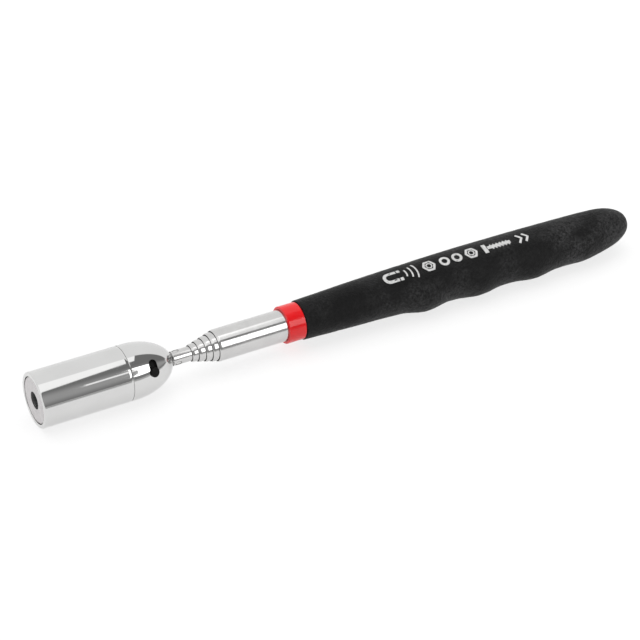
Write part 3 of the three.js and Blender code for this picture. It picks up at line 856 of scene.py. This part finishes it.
def last_tube():
    """The thinnest tube, crimped into the groove of the knuckle's stud."""
    start, end, outer = span("tube_6")
    inner = outer - TUBE_WALL
    pressed_rows = np.arange(start + 0.35, DIMPLE_ROWS_TO, DIMPLE_ROW)
    corners = [
        (start, inner, 0.05),
        *[(along, inner, 0) for along in pressed_rows],
        (end, inner, 0.05),
        (end, outer, 0.1),
        (60, outer, 0),
        (55, outer, 0),
        *[(along, outer, 0) for along in pressed_rows[::-1]],
        (start, outer, 0.12),
    ]

    def pressed(along, angle, radius):
        reach = dimple_reach(along, angle)
        if reach > 1:
            return radius
        return radius - DIMPLE_DEPTH * (1 - reach**2)

    piece = turned("tube_6_fine", corners, 384, pressed)
    finish_piece(piece, "section_6", "antenna_chrome", ANTENNA, "tube_6")

    def bare_or_shaded(along, radius, angle, normal):
        cut_end = along < start + 0.3 and (normal.x < -0.85 or radius < inner + 0.05)
        # the dents' rims take the dark steel as painted shade; the cut end is bare steel
        return cut_end or 0.86 < dimple_reach(along, angle) < 1.02

    paint_faces(piece, CUT_STEEL_AND_DENT_SHADE, bare_or_shaded)
    return piece


# ------------------------------------------------------------------ handle

COLLAR_BORE = 5.56


def collar():
    """Glossy ring with eased edges between the antenna and the grip."""
    start, end, radius = span("collar")
    corners = [
        (start, COLLAR_BORE, 0.1),
        (end, COLLAR_BORE, 0.1),
        (end, radius, 0.15),
        (start, radius, 0.3),
    ]
    piece = turned("collar_fine", corners, 192)
    finish_piece(piece, "handle", "red_plastic", RED, "collar")


GRIP_SWELL = [
    (97.2, 6.88),
    (104, 7.12),
    (112, 7.4),
    (120, 7.68),
    (130, 7.93),
    (140, 8.13),
    (150, 8.32),
    (162, 8.4),
    (176, 8.34),
    (188, 8.22),
    (200, 8),
    (208, 7.85),
    (213, 7.68),
    (218, 7.42),
    (222.5, 6.7),
    (226, 5.35),
    (228.3, 3.65),
    (229.4, 1.75),
    (229.8, 0),
]
FINGER_RISE = [
    (96.4, 0),
    (128, 0),
    (142, 0.5),
    (156, 0.7),
    (178, 0.9),
    (197, 1.2),
    (208, 1.1),
    (216, 0.75),
    (221, 0.2),
    (226, 0),
]
FINGER_BUMPS = [(143, 1.5), (164.5, 1.17), (187.3, 1.15), (208.3, 0.6)]
BUMP_HALF_LENGTH = 10
GRIP_FRONT_RADIUS = 6.84
GRIP_BORE = 6.12
GRIP_BORE_END = 213
GRAIN = [(3.2, 0.05), (1.1, 0.028)]  # the skin's relief: size across and height, in mm


def swell_curve(count):
    """Evenly spaced (along, radius) points on a smooth curve through the grip's outline."""
    points = np.array(GRIP_SWELL)
    last = points[-2] * (1, -1)
    mirrored = np.vstack([points, [last]])
    ahead = np.vstack([mirrored[1:], mirrored[-1:]])
    behind = np.vstack([mirrored[:1], mirrored[:-1]])
    chords = np.linalg.norm(np.diff(mirrored, axis=0), axis=1)
    place_on = np.concatenate([[0], np.cumsum(chords)])
    gap = np.concatenate([[chords[0]], chords[:-1] + chords[1:], [chords[-1]]])
    tangent = (ahead - behind) / gap[:, None]
    wanted = np.linspace(0, place_on[len(points) - 1], count)
    row = np.clip(np.searchsorted(place_on, wanted, side="right") - 1, 0, len(points) - 2)
    length = chords[row]
    t = ((wanted - place_on[row]) / length)[:, None]
    start, end = mirrored[row], mirrored[row + 1]
    lead, trail = tangent[row] * length[:, None], tangent[row + 1] * length[:, None]
    curve = (2 * t**3 - 3 * t**2 + 1) * start + (t**3 - 2 * t**2 + t) * lead
    curve += (3 * t**2 - 2 * t**3) * end + (t**3 - t**2) * trail
    return curve


def finger_height(along, angle):
    """The finger side's fullness and bumps, highest there and gone a quarter turn away."""
    round_share = max(0.0, math.cos(angle - FINGER_SIDE)) ** 1.2
    if round_share == 0:
        return 0.0
    height = np.interp(along, *zip(*FINGER_RISE))
    for at, tall in FINGER_BUMPS:
        reach = min(1.0, abs(along - at) / BUMP_HALF_LENGTH)
        height += tall * math.cos(reach * math.pi / 2) ** 2
    return height * round_share


def skin_relief(along, angle, radius):
    """Fine unevenness of the foamed skin, fading out at the very tip."""
    height = 0.0
    for size, tall in GRAIN:
        spot = Vector((along, radius * math.cos(angle), radius * math.sin(angle))) / size
        height += tall * noise.noise(spot)
    return height * min(1.0, radius / 3)


def grip_radius(along, angle, swell):
    """The outer skin's distance from the axis, without its fine relief."""
    return swell + finger_height(along, angle)


def grip():
    """Soft sleeve: swelling outline, finger bumps, a rolled front edge and a closed round end."""
    start = span("grip")[0]
    skin = [(along, radius, 0) for along, radius in swell_curve(460)]
    corners = [
        (GRIP_BORE_END, 0, 0),
        (GRIP_BORE_END, GRIP_BORE, 0.2),
        (start, GRIP_BORE, 0.1),
        (start, GRIP_FRONT_RADIUS, 0.3),
        *skin[:-1],
        (skin[-1][0], 0, 0),
    ]

    def fingers(along, angle, radius):
        outside = radius > GRIP_BORE + 0.2 or along > GRIP_BORE_END + 0.5
        if not outside:
            return radius
        return grip_radius(along, angle, radius) + skin_relief(along, angle, radius)

    piece = turned("grip_sleeve", corners, 288, fingers)
    finish_piece(piece, "handle", "grip_rubber", RUBBER, "grip")


# ------------------------------------------------------------------ printed mark

MARK_FROM = 128
MARK_ANGLE = math.radians(73)
MARK_PROUD = 0.05
MARK_SUNK = 0.12


def mark_point(ahead, across, lift):
    """A point on the grip's back, from mm along the mark and mm across it."""
    along = MARK_FROM + ahead
    swell = np.interp(along, *zip(*GRIP_SWELL))
    angle = MARK_ANGLE + across / swell
    return place(along, grip_radius(along, angle, swell) + lift, angle)


def stroke(points, faces, path, width, closed=False):
    """Adds a line of ink: a thin solid that follows an (ahead, across) path over the grip."""
    count = len(path)
    first = len(points)
    for i, spot in enumerate(path):
        before = np.array(path[i - 1] if closed or i else spot)
        after = np.array(path[(i + 1) % count] if closed or i < count - 1 else spot)
        step = (after - before) / np.linalg.norm(after - before)
        side = np.array([-step[1], step[0]]) * width / 2
        for corner, lift in ((1, -MARK_SUNK), (-1, -MARK_SUNK), (-1, MARK_PROUD), (1, MARK_PROUD)):
            ahead, across = np.array(spot) + side * corner
            points.append(mark_point(ahead, across, lift))
    for i in range(count if closed else count - 1):
        here, beyond = first + 4 * i, first + 4 * ((i + 1) % count)
        for edge in range(4):
            beside = (edge + 1) % 4
            faces.append([here + edge, beyond + edge, beyond + beside, here + beside])
    if not closed:
        last = first + 4 * (count - 1)
        faces.append([first, first + 1, first + 2, first + 3])
        faces.append([last + 3, last + 2, last + 1, last])


def straight(start, end, step=0.4):
    """Evenly spaced points between two places."""
    count = max(2, int(math.dist(start, end) / step) + 1)
    return [tuple(spot) for spot in np.linspace(start, end, count)]


def hexagon(centre, radius):
    corners = arc(centre, radius, 0, 2 * math.pi, 6)
    path = []
    for one, other in zip(corners, corners[1:]):
        path += straight(one, other)[:-1]
    return path


def printed_mark():
    """A generic row of white pictograms: a horseshoe magnet pulling nuts, washers and a screw."""
    points, faces = [], []

    def line(path, width, closed=False):
        stroke(points, faces, path, width, closed)

    # the magnet, its poles' tips and its pull
    pole, pole_width = 1.75, 1.15
    bend = arc((2.4, 0), pole, math.pi / 2, 3 * math.pi / 2)
    line(straight((5.6, pole), (2.7, pole)) + bend + straight((2.7, -pole), (5.6, -pole)), pole_width)
    for side in (-pole, pole):
        line(straight((6, side), (7.2, side)), pole_width)
    source = 5.4
    for reach in (9, 11, 13):
        line(arc((source, 0), reach - source, -0.42, 0.42, 10), 0.55)

    for nut in (18, 35):
        line(hexagon((nut, 0), 2.15), 0.8, closed=True)
        line(arc((nut, 0), 1.0, 0, 2 * math.pi)[:-1], 0.42, closed=True)
    for washer in (24.2, 29.2):
        line(arc((washer, 0), 1.5, 0, 2 * math.pi)[:-1], 0.95, closed=True)

    screw_head, screw_tip = 40.6, 51
    line(straight((screw_head, -2), (screw_head, 2)), 1.5)
    line(straight((screw_head + 1, 0), (screw_tip, 0)), 1.3)
    for thread in range(6):
        at = 43.4 + 1.3 * thread
        line(straight((at + 0.35, -1.15), (at - 0.35, 1.15)), 0.42)
    for chevron in range(2):
        at = 54 + 2.6 * chevron
        line(straight((at, -1.9), (at + 1.6, 0)) + straight((at + 1.6, 0), (at, 1.9))[1:], 0.8)

    piece = facing_out(mesh_object("grip_printed_mark", points, faces))
    piece.data.shade_flat()
    finish_piece(piece, "handle", None, INK)


# ------------------------------------------------------------------ stage, light and camera

FLOOR_HALF = 6.0
FLOOR_MILKINESS = 0.28
STUDIO_BRIGHT = 0.95
BACKDROP = 1.05  # the plain white that a view sees behind and through the floor
BAY_FLOOR = -10  # degrees up from -Y, round the tool's axis
BAY_TOP_AT_HEAD = 58
BAY_TOP = 95
BAY_SLANT_FROM = 16.5  # degrees towards the handle
BAY_SLANT = 6.0
BAY_DARK = 0.2
BAY_MIDDLE = 27
BAY_MIDDLE_BRIGHTER = 0.2
CEILING = (45, 90)
CEILING_BRIGHTER = 0.3


def floor():
    """A plain pale sheet of milky acrylic under the tool, with the bright room below it."""
    corners = [(-FLOOR_HALF, -FLOOR_HALF, 0), (FLOOR_HALF, -FLOOR_HALF, 0),
               (FLOOR_HALF, FLOOR_HALF, 0), (-FLOOR_HALF, FLOOR_HALF, 0)]
    piece = mesh_object("floor", corners, [[0, 1, 2, 3]])
    finish = Finish("floor_white", (0.9, 0.9, 0.9), 0.0, 0.9)
    finish.shader.inputs["Specular IOR Level"].default_value = 0.1
    finish.shader.inputs["Alpha"].default_value = FLOOR_MILKINESS
    piece.data.materials.append(finish.material)


def studio_world():
    """A pale room round a darker bay that faces the tool's finger side. The bay's top slants up
    towards the handle, with a brighter ceiling strip over its low end."""
    world = bpy.data.worlds.new("studio")
    bpy.context.scene.world = world
    world.use_nodes = True
    tree = world.node_tree

    def node(kind, **settings):
        made = tree.nodes.new(kind)
        for key, value in settings.items():
            setattr(made, key, value)
        return made

    def math_node(operation, *terms):
        made = node("ShaderNodeMath", operation=operation)
        for socket, term in zip(made.inputs, terms):
            if isinstance(term, (int, float)):
                socket.default_value = term
            else:
                tree.links.new(term, socket)
        return made.outputs[0]

    def soft_step(value, start, end):
        made = node("ShaderNodeMapRange", interpolation_type="SMOOTHSTEP")
        made.inputs["From Min"].default_value = start
        made.inputs["From Max"].default_value = end
        tree.links.new(value, made.inputs["Value"])
        return made.outputs["Result"]

    parts = node("ShaderNodeSeparateXYZ")
    tree.links.new(node("ShaderNodeTexCoord").outputs["Generated"], parts.inputs["Vector"])
    x, y, z = parts.outputs
    height = math_node("DEGREES", math_node("ARCTAN2", z, math_node("MULTIPLY", y, -1)))
    lean = math_node("DEGREES", math_node("ARCSINE", x))

    past_head = math_node("SUBTRACT", lean, BAY_SLANT_FROM)
    slant = math_node("MULTIPLY_ADD", past_head, BAY_SLANT, BAY_TOP_AT_HEAD)
    top = math_node("MINIMUM", math_node("MAXIMUM", slant, BAY_TOP_AT_HEAD), BAY_TOP)
    below_top = soft_step(math_node("SUBTRACT", top, height), -1, 3)
    above_bottom = soft_step(height, BAY_FLOOR, BAY_FLOOR + 4)
    not_far = math_node("SUBTRACT", 1, soft_step(lean, 78, 88))
    bay = math_node("MULTIPLY", math_node("MULTIPLY", below_top, above_bottom), not_far)

    off_middle = math_node("ABSOLUTE", math_node("SUBTRACT", height, BAY_MIDDLE))
    middle = math_node("SUBTRACT", 1, soft_step(off_middle, 4, 32))
    bay_light = math_node("MULTIPLY_ADD", middle, BAY_MIDDLE_BRIGHTER, BAY_DARK)
    below_end = math_node("SUBTRACT", 1, soft_step(height, CEILING[1], CEILING[1] + 4))
    ceiling = math_node("MULTIPLY", soft_step(height, CEILING[0], CEILING[0] + 10), below_end)
    room_light = math_node("MULTIPLY_ADD", ceiling, CEILING_BRIGHTER, STUDIO_BRIGHT)
    blend = node("ShaderNodeMix", data_type="FLOAT")
    tree.links.new(bay, blend.inputs["Factor"])
    tree.links.new(room_light, blend.inputs["A"])
    tree.links.new(bay_light, blend.inputs["B"])
    backdrop = node("ShaderNodeMix", data_type="FLOAT")
    tree.links.new(node("ShaderNodeLightPath").outputs["Is Camera Ray"], backdrop.inputs["Factor"])
    tree.links.new(blend.outputs["Result"], backdrop.inputs["A"])
    backdrop.inputs["B"].default_value = BACKDROP
    tree.links.new(backdrop.outputs["Result"], tree.nodes["Background"].inputs["Strength"])
    tree.nodes["Background"].inputs["Color"].default_value = (1, 1, 1, 1)


def area_light(name, size, radiance, location, target, in_mirrors=True, on_surfaces=True):
    """A soft rectangular lamp of that radiance, facing its target and unseen by the camera."""
    data = bpy.data.lights.new(name, "AREA")
    data.shape = "RECTANGLE"
    data.size, data.size_y = size
    data.energy = radiance * math.pi * size[0] * size[1]
    lamp_object = bpy.data.objects.new(name, data)
    bpy.context.scene.collection.objects.link(lamp_object)
    lamp_object.location = location
    lamp_object.rotation_euler = (Vector(target) - Vector(location)).to_track_quat("-Z", "Y").to_euler()
    lamp_object.visible_camera = False
    lamp_object.visible_glossy = in_mirrors
    lamp_object.visible_diffuse = on_surfaces
    return lamp_object


def light_only(lamp_object, pieces):
    """Keeps a lamp's light to some pieces."""
    group = bpy.data.collections.new(f"lit_by_{lamp_object.name}")
    for piece in pieces:
        group.objects.link(piece)
    lamp_object.light_linking.receiver_collection = group


def strip(name, ends, angles, distance, radiance, on_surfaces=True):
    """A lamp parallel to the tool, from mm to mm along it and between two angles round it."""
    start, end = ends
    low, high = angles
    middle, half = (low + high) / 2, (high - low) / 2
    location = place((start + end) / 2, distance, math.radians(middle))
    target = place((start + end) / 2, 0, 0)
    size = ((end - start) * MM, 2 * distance * MM * math.tan(math.radians(half)))
    return area_light(name, size, radiance, location, target, on_surfaces=on_surfaces)


def lights(antenna):
    """A long strip in front, which the barrel's mirror just misses; a card over the antenna,
    shaded from the rest; and a soft overhead."""
    strip("front_strip", ends=(170, 480), angles=(11, 45), distance=400, radiance=2.2)
    strip("front_strip_end", ends=(140, 170), angles=(32, 38), distance=400, radiance=0.7)
    card = strip("antenna_card", ends=(90, 138), angles=(60, 94), distance=100, radiance=0.8,
                 on_surfaces=False)
    light_only(card, antenna)
    area_light("overhead", size=(1.6, 1.6), radiance=1.15, location=(0, 0.2, 1.6), target=(0, 0, 0),
               in_mirrors=False)


CAMERA_FROM_MAGNET = (-0.2176, -0.5863, 0.4403)
CAMERA_AZIMUTH = math.radians(-28.8)
CAMERA_ELEVATION = math.radians(33.5)
CAMERA_TIP = math.radians(-0.09)
LENS_LENGTH = 133.2  # in mm, on a 36 mm sensor


def camera():
    """A long lens from the finger side, above the head: head nearest, tool running away up to the
    right."""
    data = bpy.data.cameras.new("camera")
    data.sensor_width = 36
    data.lens = LENS_LENGTH
    data.clip_start = 0.05
    holder = bpy.data.objects.new("camera", data)
    bpy.context.scene.collection.objects.link(holder)
    forward = Vector((
        -math.sin(CAMERA_AZIMUTH) * math.cos(CAMERA_ELEVATION),
        math.cos(CAMERA_AZIMUTH) * math.cos(CAMERA_ELEVATION),
        -math.sin(CAMERA_ELEVATION),
    ))
    x, y, z = CAMERA_FROM_MAGNET
    holder.location = (FRONT + x, y, AXIS_Z + z)
    aim = forward.to_track_quat("-Z", "Y") @ Quaternion((0, 0, 1), CAMERA_TIP)
    holder.rotation_euler = aim.to_euler()
    bpy.context.scene.camera = holder


# ------------------------------------------------------------------ everything

camera()
floor()
studio_world()
bpy.context.scene.view_settings.view_transform = "Standard"

finish_cad_nodes()
barrel()
dome()
magnet()
lamp()
lamp_holder()
pivot_pin()
knuckle()
switch()
antenna = [tube(number) for number in range(1, 6)] + [last_tube()]
collar()
grip()
printed_mark()
lights(antenna)
